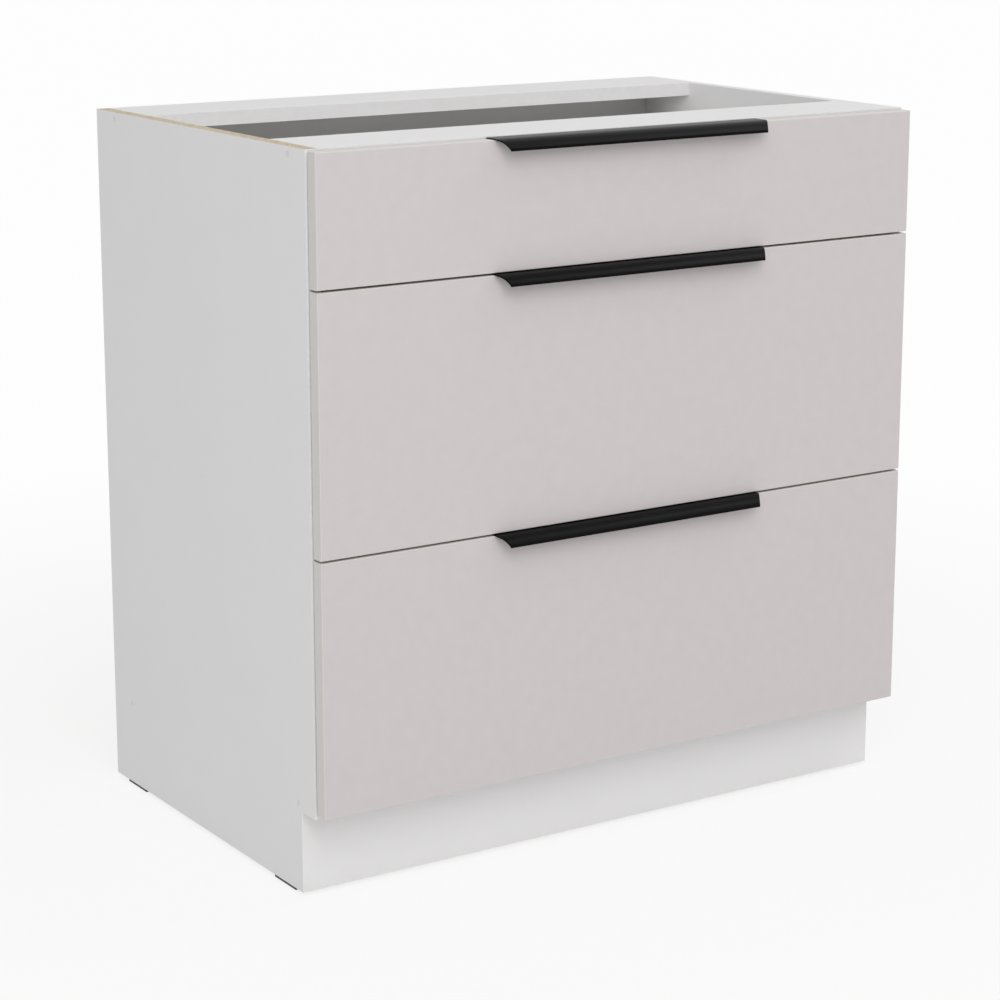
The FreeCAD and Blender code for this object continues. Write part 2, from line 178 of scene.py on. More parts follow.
def reckon(finish, operation, *values):
    """One sum on up to three values, each of which is a number or an output."""
    step = finish.node_tree.nodes.new("ShaderNodeMath")
    step.operation = operation
    for source, target in zip(values, step.inputs):
        if isinstance(source, (int, float)):
            target.default_value = source
        else:
            link(finish, source, target)
    return step.outputs["Value"]


# %% [markdown]
# Relief goes through a bump node, whose distance is the real height of the texture. A
# finish then goes onto its pieces in place of the plain one that they came with.


# %% Relief and dressing
def relief(finish, shader, height, depth):
    """Bump of a real depth, in metres, from a value between 0 and 1."""
    bump = finish.node_tree.nodes.new("ShaderNodeBump")
    bump.inputs["Distance"].default_value = depth
    link(finish, height, bump.inputs["Height"])
    link(finish, bump.outputs["Normal"], shader.inputs["Normal"])


def dress(finish, names):
    """Gives one finish to the named CAD nodes."""
    for name in names:
        slots = nodes[name].data.materials
        slots.clear()
        slots.append(finish)
    print(finish.name, "on", len(names), "nodes")


# %% [markdown]
# ## Coated chipboard
# A kitchen carcass is chipboard pressed between two sheets of resin film. The faces are
# white with a fine pearl embossing. Where a board is cut and no band is glued on, the
# edge shows the core: pale chips of wood, finer towards both faces, between two thin white
# lines. A picture could be painted on, but the board itself knows where its core is: every
# point deeper in its thickness than the film is core. So the finish measures the distance
# from the middle of the board, and holes and grooves show chips as well.


# %% Core of chips
chip_pale = colour(223, 211, 190)
chip_dark = colour(189, 171, 144)
chip_gap = colour(152, 130, 102)
chips_per_metre = (420, 420, 640)
clouds_per_metre = 180
specks_per_metre = 900
black, light_grey, white = (0, 0, 0, 1), (0.6, 0.6, 0.6, 1), (1, 1, 1, 1)


def chip_core(finish, place):
    """Chips about 2 mm long lying in the plane of a board, with darker specks between them."""
    grains = chips(finish, stretched(finish, place, chips_per_metre), 1.0)
    cloud = noise(finish, place, clouds_per_metre, 3.0)
    speck = noise(finish, place, specks_per_metre, 1.0)
    wood = between(finish, grains, 0.15, 0.85, chip_dark, chip_pale)
    paler = between(finish, cloud, 0.4, 0.7, black, light_grey)
    wood = mixed(finish, paler, wood, chip_pale)
    holes = between(finish, speck, 0.66, 0.74, black, white)
    return mixed(finish, holes, wood, chip_gap), speck


print("a chip is about", round(1000 / chips_per_metre[0], 1), "mm across")

# %% [markdown]
# The film covers the core on both faces. Where an edge has a band, a plane across another
# axis says where the raw core ends. The film's gloss is low, because its embossing spreads
# the light, and the chips are rougher and deeper than the film.


# %% Film over the core
film_thickness = 0.25 * millimetre
film_gloss = 0.1
film_roughness = 0.6
chips_rougher_by = 0.25
chips_deeper_by = 4.0
film_dimmest = 0.992
shades_per_metre = 14
pearls_per_metre = 1100
pearl_depth = 0.03 * millimetre


def board_finish(name, axis, box, film, bands=()):
    """Film on the two faces across an axis, and chips in between.

    A point is core where its distance from the board's middle plane is less than half the
    thickness less the film. A band is an axis and the last point with chips along it, "above"
    or "below" which the edge is white.
    """
    middle = (box[0][axis] + box[1][axis]) / 2
    half = (box[1][axis] - box[0][axis]) / 2
    finish, shader, place = start_finish(name, film, film_roughness)
    shader.inputs["Specular IOR Level"].default_value = film_gloss
    separate = finish.node_tree.nodes.new("ShaderNodeSeparateXYZ")
    link(finish, place, separate.inputs["Vector"])
    from_middle = reckon(finish, "SUBTRACT", separate.outputs[axis], middle)
    off_middle = reckon(finish, "ABSOLUTE", from_middle)
    core = reckon(finish, "LESS_THAN", off_middle, half - film_thickness)
    for along, side, last in bands:
        raw_side = "LESS_THAN" if side == "above" else "GREATER_THAN"
        raw = reckon(finish, raw_side, separate.outputs[along], last)
        core = reckon(finish, "MULTIPLY", core, raw)
    wood, speck = chip_core(finish, place)
    shade = noise(finish, place, shades_per_metre)
    dimmer = tuple(film_dimmest * part for part in film[:3]) + (1.0,)
    face = between(finish, shade, 0.35, 0.65, dimmer, film)
    link(finish, mixed(finish, core, face, wood), shader.inputs["Base Color"])
    rough = reckon(finish, "MULTIPLY_ADD", core, chips_rougher_by, film_roughness)
    link(finish, rough, shader.inputs["Roughness"])
    pearl = noise(finish, place, pearls_per_metre)
    pitted = reckon(finish, "MULTIPLY", speck, core)
    height = reckon(finish, "MULTIPLY_ADD", pitted, chips_deeper_by, pearl)
    relief(finish, shader, height, pearl_depth)
    return finish


# %% [markdown]
# Each board's finish is made for the axis that it is thin across. All of them are banded in
# front. The upper edge of the right side is white in the photograph and so is banded too,
# while that of the left side shows its chips.

# %% Dress the carcass boards
across = {
    "side_panel_left": 0,
    "side_panel_right": 0,
    "bottom_panel": 2,
    "front_rail": 2,
    "rear_rail": 2,
    "plinth_board": 1,
}
front_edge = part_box("edge_bands")[0][1]
front_band_reach = 1.2 * millimetre
top_band_thickness = 0.5 * millimetre
front_band_end = (1, "below", front_edge + front_band_reach)
top_band_start = (2, "above", cad_high[2] - top_band_thickness)
for name, axis in across.items():
    bands = [front_band_end]
    if name == "side_panel_right":
        bands.append(top_band_start)
    dress(board_finish(name + "_film", axis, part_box(name), white_film, bands), [name])

# %% [markdown]
# ## Drawer boxes
# The boxes are made of the same coated board, 12 mm thick. Their upper edges are always in
# sight when a drawer is open, so the maker bands them, and only the lower edges stay raw.

# %% Dress the drawer boxes
box_across = {"box_side_left": 0, "box_side_right": 0, "box_front": 1, "box_back": 1}
for level in levels:
    for part, axis in box_across.items():
        name = part + "_" + level
        low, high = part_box(name)
        upper_band = (2, "above", high[2] - top_band_thickness)
        dress(board_finish(name + "_film", axis, (low, high), white_film, [upper_band]), [name])

# %% [markdown]
# ## Thin fibreboard
# The back and the drawer bottoms are 3 mm fibreboard: lacquered white on the side that is
# seen, raw brown on the other. The white is set a little greyer than the film, partly its own
# tone and partly painted shade for the inside of the cabinet. Both are flat boards with one
# coordinate across them, so a single step on that coordinate parts white from brown.


# %% Fibreboard finish
# The white lacquer is set greyer than the film: partly its own tone, partly painted shade for the
# inside of the cabinet.
lacquer_and_shade_pale = colour(226, 226, 225)
lacquer_and_shade_dim = colour(222, 222, 221)
fibre_pale = colour(158, 124, 90)
fibre_dark = colour(122, 92, 64)
raw_thickness = 0.3 * millimetre
fibre_depth = 0.04 * millimetre


def fibreboard_finish(name, axis, white_from, white_side):
    """White lacquer, greyed partly as painted shade, on one side of a plane across an axis, brown
    pressed fibres on the other.
    """
    finish, shader, place = start_finish(name, white_film, 0.5)
    separate = finish.node_tree.nodes.new("ShaderNodeSeparateXYZ")
    link(finish, place, separate.inputs["Vector"])
    lacquer = reckon(finish, white_side, separate.outputs[axis], white_from)
    fibres = noise(finish, stretched(finish, place, (1.0, 0.6, 1.0)), 700, 4.0)
    brown = between(finish, fibres, 0.3, 0.7, fibre_dark, fibre_pale)
    cloud = noise(finish, place, 9)
    pale = between(finish, cloud, 0.3, 0.7, lacquer_and_shade_dim, lacquer_and_shade_pale)
    link(finish, mixed(finish, lacquer, brown, pale), shader.inputs["Base Color"])
    relief(finish, shader, fibres, fibre_depth)
    return finish


# %% [markdown]
# The back is raw towards the wall, and the drawer bottoms are raw underneath.

# %% Dress the back and the drawer bottoms
rear_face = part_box("back_panel")[1][1] - raw_thickness
dress(fibreboard_finish("back_fibreboard", 1, rear_face, "LESS_THAN"), ["back_panel"])
for level in levels:
    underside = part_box("box_bottom_" + level)[0][2] + raw_thickness
    finish = fibreboard_finish("bottom_fibreboard_" + level, 2, underside, "GREATER_THAN")
    dress(finish, ["box_bottom_" + level])

# %% [markdown]
# ## Matt grey fronts
# The fronts are board with a warm grey, silky matt laminate and a band on all four edges,
# whose colour is a painted highlight, a little lighter and greyer than the face. Real laminate
# isn't one flat tone: its print has a very fine mottle, and its matt varnish has tiny pits,
# which spread the highlights.


# %% Front finish
front_grey = colour(211, 204, 204)
# The band's colour is painted a little lighter and greyer than the face: a painted highlight on all
# four edges.
front_band_highlight = colour(216, 213, 209)
front_band_thickness = 0.8 * millimetre
front_dimmest = 0.98
front_sheen = 0.44
pits_rougher_by = 0.12
pits_per_metre = 2600
pit_depth = 0.012 * millimetre


def front_finish(name):
    """Warm grey with a mottle of two per cent, pits under half a millimetre apart, and a band painted
    lighter as a highlight.

    A point is band where its distance from the front's middle, across or up, is more than
    half the front's size less the thickness of the band.
    """
    finish, shader, place = start_finish(name + "_laminate", front_grey, 0.5)
    dimmer = tuple(front_dimmest * part for part in front_grey[:3]) + (1.0,)
    mottle = noise(finish, place, 60, 4.0)
    face = between(finish, mottle, 0.35, 0.65, dimmer, front_grey)
    separate = finish.node_tree.nodes.new("ShaderNodeSeparateXYZ")
    link(finish, place, separate.inputs["Vector"])
    low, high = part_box(name)
    edges = []
    for axis in (0, 2):
        middle = (low[axis] + high[axis]) / 2
        from_middle = reckon(finish, "SUBTRACT", separate.outputs[axis], middle)
        off_middle = reckon(finish, "ABSOLUTE", from_middle)
        laminate_end = high[axis] - middle - front_band_thickness
        edges.append(reckon(finish, "GREATER_THAN", off_middle, laminate_end))
    band = reckon(finish, "MAXIMUM", *edges)
    link(finish, mixed(finish, band, face, front_band_highlight), shader.inputs["Base Color"])
    pits = noise(finish, place, pits_per_metre, 1.0)
    sheen = reckon(finish, "MULTIPLY_ADD", pits, pits_rougher_by, front_sheen)
    link(finish, sheen, shader.inputs["Roughness"])
    relief(finish, shader, pits, pit_depth)
    return finish


for level in levels:
    dress(front_finish("drawer_front_" + level), ["drawer_front_" + level])

# %% [markdown]
# ## Edge bands and moulded plastics
# A band is a strip of white plastic, a little glossier than the film and lightly grained
# along its length. The glides are black and hard, with the fine spark texture of a mould.
# The caps and the corner blocks are white and softer in gloss.


# %% Plastic finishes
plastic_dimmest = 0.98


def plastic_finish(name, base, roughness, grain, depth):
    """Moulded plastic: one colour with a slight cloud, and a grain with its depth in mm."""
    finish, shader, place = start_finish(name, base, roughness)
    cloud = noise(finish, place, 90)
    dimmer = tuple(plastic_dimmest * part for part in base[:3]) + (1.0,)
    link(finish, between(finish, cloud, 0.35, 0.65, dimmer, base), shader.inputs["Base Color"])
    relief(finish, shader, noise(finish, place, grain), depth * millimetre)
    return finish


glide_black = colour(24, 24, 25)
cap_white = colour(222, 222, 220)
band_plastic = plastic_finish("edge_band_plastic", white_film, roughness=0.36, grain=1500, depth=0.01)
black_plastic = plastic_finish("glide_plastic", glide_black, roughness=0.5, grain=2400, depth=0.03)
white_plastic = plastic_finish("white_plastic", cap_white, roughness=0.4, grain=1800, depth=0.015)
dress(band_plastic, ["edge_bands"])
dress(black_plastic, ["foot_glides"])
dress(white_plastic, ["screw_caps", "plinth_blocks"])

# %% [markdown]
# ## Steel
# Slides are rolled from zinc-plated strip. Rolling leaves faint lines along the strip, and
# the plating clouds a little, so the roughness varies more than the colour does. The ball
# retainers and screws are plated too, and duller.


# %% Steel finishes
steel_dimmest = 0.92
lines_rougher_by = 0.25
lines_smoother_by = 0.12
line_depth = 0.008 * millimetre


def steel_finish(name, base, roughness, streak):
    """Plated steel: roughness runs in lines along Y, which `streak` makes long or short."""
    finish, shader, place = start_finish(name, base, roughness, metallic=1.0)
    lines = noise(finish, stretched(finish, place, (900, streak, 900)), 1.0, 3.0)
    cloud = noise(finish, place, 45, 3.0)
    dimmer = tuple(steel_dimmest * part for part in base[:3]) + (1.0,)
    link(finish, between(finish, cloud, 0.3, 0.7, dimmer, base), shader.inputs["Base Color"])
    rough = reckon(finish, "MULTIPLY_ADD", lines, lines_rougher_by, roughness - lines_smoother_by)
    link(finish, rough, shader.inputs["Roughness"])
    relief(finish, shader, lines, line_depth)
    return finish


slide_steel = steel_finish("rolled_zinc_steel", colour(205, 208, 211), roughness=0.34, streak=6)
small_steel = steel_finish("small_zinc_steel", colour(192, 193, 192), roughness=0.4, streak=300)
channels = ("cabinet_slides_", "middle_slides_", "drawer_slides_")
cages = ("outer_ball_cages_", "inner_ball_cages_")
dress(slide_steel, [part + level for part in channels for level in levels])
screws = ("front_screws_", "short_screws_")
dress(small_steel, [part + level for part in cages + screws for level in levels])
dress(small_steel, ["carcass_screws", "short_screws_carcass"])

# %% [markdown]
# ## Beech
# Dowels are turned from beech and grooved, so that glue can get out of the hole. They are
# hidden in their holes, and still get a plain beech finish with short dark flecks.


# %% Dress the dowels
beech_pale = colour(210, 176, 136)
beech_dark = colour(170, 130, 90)
fleck_depth = 0.05 * millimetre


def beech_finish():
    """Pale pinkish brown with short flecks drawn out along X, the length of a dowel."""
    finish, shader, place = start_finish("beech", beech_pale, 0.55)
    flecks = noise(finish, stretched(finish, place, (150, 1500, 1500)), 1.0)
    wood = between(finish, flecks, 0.4, 0.75, beech_pale, beech_dark)
    link(finish, wood, shader.inputs["Base Color"])
    relief(finish, shader, flecks, fleck_depth)
    return finish


dress(beech_finish(), ["carcass_dowels"] + ["box_dowels_" + level for level in levels])

# %% [markdown]
# ## Making new pieces
# Each new piece is a surface: a grid of points worked out from two running numbers. One
# helper turns such a grid into faces, closing it round where its last column meets its
# first. Another one joins many copies of a small shape into a single mesh.


# %% From points to a mesh
merge_distance = 0.5e-6


def grid_faces(rows, columns, closed):
    """Quads between neighbouring points; a closed grid joins its last column to its first."""
    index = np.arange(rows * columns).reshape(rows, columns)
    if closed:
        index = np.concatenate([index, index[:, :1]], axis=1)
    corners = [index[:-1, :-1], index[:-1, 1:], index[1:, 1:], index[1:, :-1]]
    return np.stack(corners, axis=-1).reshape(-1, 4)


def make_piece(name, points, faces, finish, crease=40):
    """Mesh object from an array of points and an array of quads, with its finish and slot.

    Points that fall together, as at a pole, are merged, faces are turned outwards, and edges
    stay sharp where the surface bends by more than the crease angle, in degrees.
    """
    mesh = bpy.data.meshes.new(name)
    mesh.from_pydata(points.reshape(-1, 3).tolist(), [], faces.tolist())
    work = bmesh.new()
    work.from_mesh(mesh)
    bmesh.ops.remove_doubles(work, verts=work.verts, dist=merge_distance)
    bmesh.ops.recalc_face_normals(work, faces=work.faces)
    work.to_mesh(mesh)
    work.free()
    mesh.shade_smooth()
    mesh.set_sharp_from_angle(angle=math.radians(crease))
    mesh.materials.append(finish)
    piece = bpy.data.objects.new(name, mesh)
    bpy.context.scene.collection.objects.link(piece)
    return piece


print("a closed grid of 3 by 4 points has", len(grid_faces(3, 4, True)), "faces")

# %% [markdown]
# Sections are drawn from arcs, and small parts such as balls come as copies of one shape.


# %% Arcs and copies
arc_step = 8


def arc(centre, radius, first, last, count=None):
    """Points centre + radius (cos a, sin a), the angle a in even steps of about 8 degrees."""
    count = count or max(2, round(abs(last - first) / arc_step) + 1)
    angle = np.radians(np.linspace(first, last, count))
    return np.asarray(centre) + radius * np.stack([np.cos(angle), np.sin(angle)], axis=1)


def copies(points, faces, places):
    """The same small shape at many places: its points are added to each place in turn."""
    count = len(points)
    all_points = (places[:, None, :] + points[None, :, :]).reshape(-1, 3)
    steps = np.arange(len(places))[:, None, None] * count
    return all_points, (faces[None, :, :] + steps).reshape(-1, 4)


print("a quarter circle has", len(arc((0, 0), 1, 0, 90)), "points")

# %% [markdown]
# ## Pulls
# Each pull is one black strip, 1.5 mm thick, bent over the top edge of its front: a leg
# behind, a flat top, and a lip that curls forwards and down to hide the fingertips. The lip
# ends in an upright face, which the photograph shows as a darker line, and its two front
# corners are cut at a slant. Extruding a drawn section would leave square ends, so here the
# section is carried along the width as a grid, and the grid gets narrower towards the tip.

# %% Pull measures and powder coat
pull_sheet = 1.5 * millimetre
pull_curve = 22.0 * millimetre
pull_drop = 11.0 * millimetre
pull_bend = 1.8 * millimetre
pull_corner_along = 9.0 * millimetre
pull_corner_back = 14.0 * millimetre
broken_edge = 0.18 * millimetre
powder_black = colour(6, 5, 5)
powder_darkest = colour(4, 4, 4)
powder_roughness = 0.36
powder_gloss = 0.07
peel_per_metre = 1900
peel_depth = 0.02 * millimetre


def powder_finish():
    """Black powder coat: an orange-peel relief half a millimetre across and a satin gloss."""
    finish, shader, place = start_finish("black_powder_coat", powder_black, powder_roughness)
    shader.inputs["Specular IOR Level"].default_value = powder_gloss
    peel = noise(finish, place, peel_per_metre)
    tone = between(finish, noise(finish, place, 120), 0.3, 0.7, powder_darkest, powder_black)
    link(finish, tone, shader.inputs["Base Color"])
    relief(finish, shader, peel, peel_depth)
    return finish


black_powder = powder_finish()
print("lip's inner radius", (pull_curve - pull_sheet) / millimetre, "mm")

# %% [markdown]
# The section is two lines, the outer and the inner side of the strip. Each is a foot, the
# bend at the back and the curve of the lip.


# %% Section of a pull
def pull_section(low, high):
    """Outer and inner line of the strip as (y, z) points, from the leg's foot to the tip.

    Both bends are pairs of arcs round one centre. The inner arc of the lip ends where it has
    fallen by the drop, at sin a = reach / inner radius, and the outer arc straight above it.
    """
    back_y, top_z = high[1], high[2]
    inner_curve = pull_curve - pull_sheet
    inner_turn = math.acos(1 - pull_drop / inner_curve)
    start_y = low[1] + inner_curve * math.sin(inner_turn)
    outer_turn = math.asin((start_y - low[1]) / pull_curve)
    bend_centre = (back_y - pull_bend, top_z - pull_bend)
    lip_centre = (start_y, top_z - pull_curve)
    section = []
    for inset, turn in ((0.0, outer_turn), (pull_sheet, inner_turn)):
        foot = [[back_y - inset, low[2]]]
        bend = arc(bend_centre, pull_bend - inset, 0, 90, count=7)
        lip = arc(lip_centre, pull_curve - inset, 90, 90 + math.degrees(turn), count=25)
        section.append(np.concatenate([foot, bend, lip]))
    return section


# %% [markdown]
# The two lines make one ring, and the ring is carried from end to end. Quads between the
# lines close both ends. A narrow bevel breaks the edges, as powder coat does on real sheet.


# %% Build the pulls
pull_columns = 25
sharp_edge = math.radians(28)


def make_pull(level, finish):
    """Ring of the section times the width, which narrows in line with y near the tip."""
    low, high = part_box("handle_" + level)
    outer, inner = pull_section(low, high)
    ring = np.concatenate([outer, inner[::-1]])
    inside = np.clip((ring[:, 0] - low[1]) / pull_corner_back, 0, 1)
    half = high[0] - pull_corner_along * (1 - inside)
    across = np.linspace(-1, 1, pull_columns)
    x = across[:, None] * half[None, :]
    y = np.broadcast_to(ring[:, 0], x.shape)
    z = np.broadcast_to(ring[:, 1], x.shape)
    points = np.stack([x, y, z], axis=-1)
    index = np.arange(len(outer) - 1)
    pair = len(ring) - 1 - index
    end = np.stack([index, index + 1, pair - 1, pair], axis=1)
    other_end = end + x.size - len(ring)
    faces = np.concatenate([grid_faces(*x.shape, True), end, other_end])
    piece = make_piece("pull_" + level, points, faces, finish, 25)
    soft = piece.modifiers.new("broken_edges", "BEVEL")
    soft.width = broken_edge
    soft.segments = 2
    soft.limit_method = "ANGLE"
    soft.angle_limit = sharp_edge
    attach(piece, "drawer_" + level)
    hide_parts("handle_" + level)
    return piece


for level in levels:
    pull = make_pull(level, black_powder)
    print(pull.name, "points:", len(pull.data.vertices))

# %% [markdown]
# ## Drawn steel sections
# A slide is three channels, one inside the other, cold-drawn from 1.2 mm strip, with two
# thin retainers between them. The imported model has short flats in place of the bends, which
# is enough to carry load, but light runs along a true bend in one soft line. So each section
# is drawn again here: a line of straights and arcs, given its thickness to both sides of the
# line, and carried along the slide. The arcs lie round the two rows of balls, so one radius
# serves every race.

# %% Slide measures
channel_sheet = 1.2 * millimetre
retainer_sheet = 0.45 * millimetre
race_radius = 2.65 * millimetre
outer_row = np.array([4.05, 19.15]) * millimetre
row_angle = -40
slide_width = 12.7 * millimetre
towards_inner = np.array([math.cos(math.radians(row_angle)), math.sin(math.radians(row_angle))])
inner_row = outer_row + 2 * race_radius * towards_inner
print("inner ball row at", (inner_row / millimetre).round(2), "mm")


# %% [markdown]
# A section is alike above and below its middle, so only its upper half is drawn. Angles are
# in degrees from the X axis.


# %% Lines of the three channels
cabinet_lip = 40
middle_lip = 10
drawer_lip = 215


def mirrored_section(flange):
    """Whole section from its upper half: the same points upside down, the web, and the half."""
    return np.concatenate([flange[::-1] * [1, -1], flange])


def cabinet_line():
    """On the wall: a flat web, an S that steps out to the race, and the race over the balls."""
    web = channel_sheet / 2
    race_x = outer_row[0] - race_radius
    step = 1.5 * millimetre
    lean = math.degrees(math.acos(1 - (race_x - web) / (2 * step)))
    rise = 2 * step * math.sin(math.radians(lean))
    top = outer_row[1] - 0.25 * millimetre
    first = arc((web + step, top - rise), step, 180, 180 - lean)
    second = arc((race_x - step, top), step, -lean, 0)
    race = arc(outer_row, race_radius, 180, cabinet_lip)
    return mirrored_section(np.concatenate([first, second, race]))


def middle_line():
    """In the middle: a web at the outer balls, then an S round the outer and the inner balls."""
    corner = 1.05 * millimetre
    start = arc((outer_row[0], outer_row[1] - race_radius - corner), corner, 180, 90)
    under = arc(outer_row, race_radius, 270, 360 + row_angle)
    over = arc(inner_row, race_radius, 180 + row_angle, middle_lip)
    return mirrored_section(np.concatenate([start, under[1:], over[1:]]))


def drawer_line():
    """On the drawer: a web at the slide's full width, turned back under the inner balls."""
    corner = 1.5 * millimetre
    web = slide_width - channel_sheet / 2
    start = arc((web - corner, inner_row[1] - race_radius - corner), corner, 0, 90)
    return mirrored_section(np.concatenate([start, arc(inner_row, race_radius, 270, drawer_lip)]))


print("points of the three lines:", [len(line()) for line in (cabinet_line, middle_line, drawer_line)])

# %% [markdown]
# A retainer is a plain thin channel. Its legs run between the races, through the balls.


# %% Lines of the two retainers
def cage_line(web, corner, leg_height, leg_end):
    """Retainer: an upright web, a rounded corner and a leg that runs out through the balls."""
    turn = arc((web + corner, leg_height - corner), corner, 180, 90)
    return mirrored_section(np.concatenate([turn, [[leg_end, leg_height]]]))


outer_cage = cage_line(
    web=1.8 * millimetre,
    corner=2.95 * millimetre,
    leg_height=outer_row[1],
    leg_end=outer_row[0] + 2.15 * millimetre,
)
inner_cage = cage_line(
    web=4.45 * millimetre,
    corner=0.8 * millimetre,
    leg_height=inner_row[1] - 0.36 * millimetre,
    leg_end=inner_row[0] + 1.7 * millimetre,
)
print("points of the retainers' lines:", len(outer_cage), len(inner_cage))

# %% [markdown]
# A line gets its thickness by moving it half the sheet to each side, along its normals. Both
# hands of a slide are alike, so one mesh holds the section and its mirror image.


# %% Draw a section out
def drawn_section(line, sheet, low, high, wall, middle_z):
    """The line thickened by half the sheet along its normals, at both ends and on both sides.

    The normal is the tangent turned by a right angle. Quads join neighbouring points along
    the slide, across the two ends, and round the two lips of the sheet.
    """
    run = np.gradient(line, axis=0)
    run /= np.linalg.norm(run, axis=1, keepdims=True)
    normal = np.stack([-run[:, 1], run[:, 0]], axis=1)
    ring = np.concatenate([line + normal * sheet / 2, (line - normal * sheet / 2)[::-1]])
    count = len(line)
    ends = np.array([low, high])
    x = np.broadcast_to(wall - ring[None, :, 0], (2, 2 * count))
    y = np.broadcast_to(ends[:, None], x.shape)
    z = np.broadcast_to(middle_z + ring[None, :, 1], x.shape)
    points = np.stack([x, y, z], axis=-1).reshape(-1, 3)
    index = np.arange(count - 1)
    pair = 2 * count - 1 - index
    cap = np.stack([index, index + 1, pair - 1, pair], axis=1)
    faces = np.concatenate([grid_faces(2, 2 * count, True), cap, cap + 2 * count])
    both = np.concatenate([points, points * [-1, 1, 1]])
    return both, np.concatenate([faces, faces + len(points)])


wall_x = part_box("side_panel_right")[0][0]
print("inner face of the side at", round(wall_x, 4), "m")

# %% [markdown]
# The cabinet's channels stand still. The others move each with their own body.

# %% Build the slides
lines = {
    "cabinet_slides_": (cabinet_line(), channel_sheet, "cabinet"),
    "middle_slides_": (middle_line(), channel_sheet, "middle_channels_"),
    "drawer_slides_": (drawer_line(), channel_sheet, "drawer_"),
    "outer_ball_cages_": (outer_cage, retainer_sheet, "outer_retainers_"),
    "inner_ball_cages_": (inner_cage, retainer_sheet, "inner_retainers_"),
}
for level in levels:
    for part, (line, sheet, body) in lines.items():
        low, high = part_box(part + level)
        middle_z = (low[2] + high[2]) / 2
        points, faces = drawn_section(line, sheet, low[1], high[1], wall_x, middle_z)
        steel = small_steel if "cages" in part else slide_steel
        section = make_piece("drawn_" + part + level, points, faces, steel, 50)
        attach(section, body if body == "cabinet" else body + level)
        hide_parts(part + level)
    print(level, "slides drawn out from", round(low[1], 4), "to", round(high[1], 4), "m")

# %% [markdown]
# ## Balls of the slides
# Each slide has four rows of steel balls: two between the cabinet's channel and the middle
# one, two between the middle channel and the drawer's. The retainers space them out and
# travel with them, so the balls ride on the retainers' bodies. A ball is drawn from rings
# of latitude, and copies of it are set along both rows.

# %% Shape of a ball
ball_radius = 1.75 * millimetre
ball_pitch = 13.5 * millimetre
balls_in_row = 16


def ball_shape(rings=7, segments=10):
    """Sphere of radius r: (r sin p cos t, r sin p sin t, r cos p), p from pole to pole."""
    polar = np.linspace(0, math.pi, rings)[:, None]
    turn = np.linspace(0, 2 * math.pi, segments, endpoint=False)[None, :]
    x = np.sin(polar) * np.cos(turn)
    y = np.sin(polar) * np.sin(turn)
    z = np.cos(polar) * np.ones_like(turn)
    points = np.stack([x, y, z], axis=-1).reshape(-1, 3) * ball_radius
    return points, grid_faces(rings, segments, True)


ball_points, ball_faces = ball_shape()
print("faces of a ball:", len(ball_faces))

# %% [markdown]
# Even steps set the balls along each row, half of them to each side of the retainer's middle.


# %% Set the balls
def ball_places(cage, out_from_wall, off_middle):
    """Places of the balls of one retainer pair: even steps along Y, above and below the middle."""
    low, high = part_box(cage)
    middle_y = (low[1] + high[1]) / 2
    middle_z = (low[2] + high[2]) / 2
    steps = (np.arange(balls_in_row) - (balls_in_row - 1) / 2) * ball_pitch
    side, row, step = np.meshgrid([-1, 1], [-1, 1], steps, indexing="ij")
    x = side * (wall_x - out_from_wall)
    places = np.stack([x, middle_y + step, middle_z + row * off_middle], axis=-1)
    return places.reshape(-1, 3)


rows = {"outer": outer_row, "inner": inner_row}
for level in levels:
    for row, (out_from_wall, off_middle) in rows.items():
        places = ball_places(row + "_ball_cages_" + level, out_from_wall, off_middle)
        points, faces = copies(ball_points, ball_faces, places)
        balls = make_piece("balls_" + row + "_" + level, points, faces, slide_steel)
        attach(balls, row + "_retainers_" + level)
        print(balls.name, "balls:", len(places))

# %% [markdown]
# ## Screws with a cross recess
# Short countersunk screws hold the slides, the pulls and the plinth's corner blocks, and
# longer ones come through the box into each front. The surface of such a screw is one grid
# of rings and spokes. The rings run from the middle of the recess over the face, down the
# cone and along the shank to the tip. The spokes crowd together near the four arms, so
# that a few of them give clean corners.

# %% Screw shape
proud = 0.25 * millimetre
rim = 0.3 * millimetre
recess_depth = 1.3 * millimetre
arm_half_width = 0.42 * millimetre
arm_reach = 0.62
arm_slope = 0.12
wall_slope = 1.6
crowding = 0.16
face_rings = 13
spokes = 32


def screw_shape(head_radius, cone, shank_radius, length):
    """Rings of radius r at depth w, with the recess pressed in, w running along the screw.

    Spoke angles are t - 0.16 sin 4t. A point is pressed in by the recess depth where it is
    nearer to an arm's middle line than the arm's half width, and less towards the arm's end.
    """
    turn = np.linspace(0, 2 * math.pi, spokes, endpoint=False)
    angle = (turn - crowding * np.sin(4 * turn))[None, :]
    face = np.linspace(0, head_radius - rim, face_rings)
    radius = np.concatenate([face, [head_radius, shank_radius, shank_radius, 0]])[:, None]
    flat = np.full(face_rings, -proud)
    depth = np.concatenate([flat, [0, cone, 0.9 * length, length]])[:, None]
    across = radius * np.cos(angle)
    along = radius * np.sin(angle)
    near_arm = np.minimum(np.abs(across), np.abs(along)) / arm_half_width
    to_end = (arm_reach * head_radius - radius) / (arm_slope * head_radius)
    pressed = recess_depth * np.clip(wall_slope - near_arm, 0, 1) * np.clip(to_end, 0, 1)
    points = np.stack([across, along, depth + pressed], axis=-1).reshape(-1, 3)
    return points, grid_faces(len(radius), spokes, True)


short_screw = screw_shape(3.2 * millimetre, 1.0 * millimetre, 1.75 * millimetre, 12.5 * millimetre)
front_screw = screw_shape(3.5 * millimetre, 1.5 * millimetre, 1.75 * millimetre, 25 * millimetre)
print("faces of a screw:", len(short_screw[1]))

# %% [markdown]
# A screw is drawn standing on the Z axis. It is turned to the direction that it is driven in
# and moved to its place, and the left hand of the cabinet is mirrored to the right.


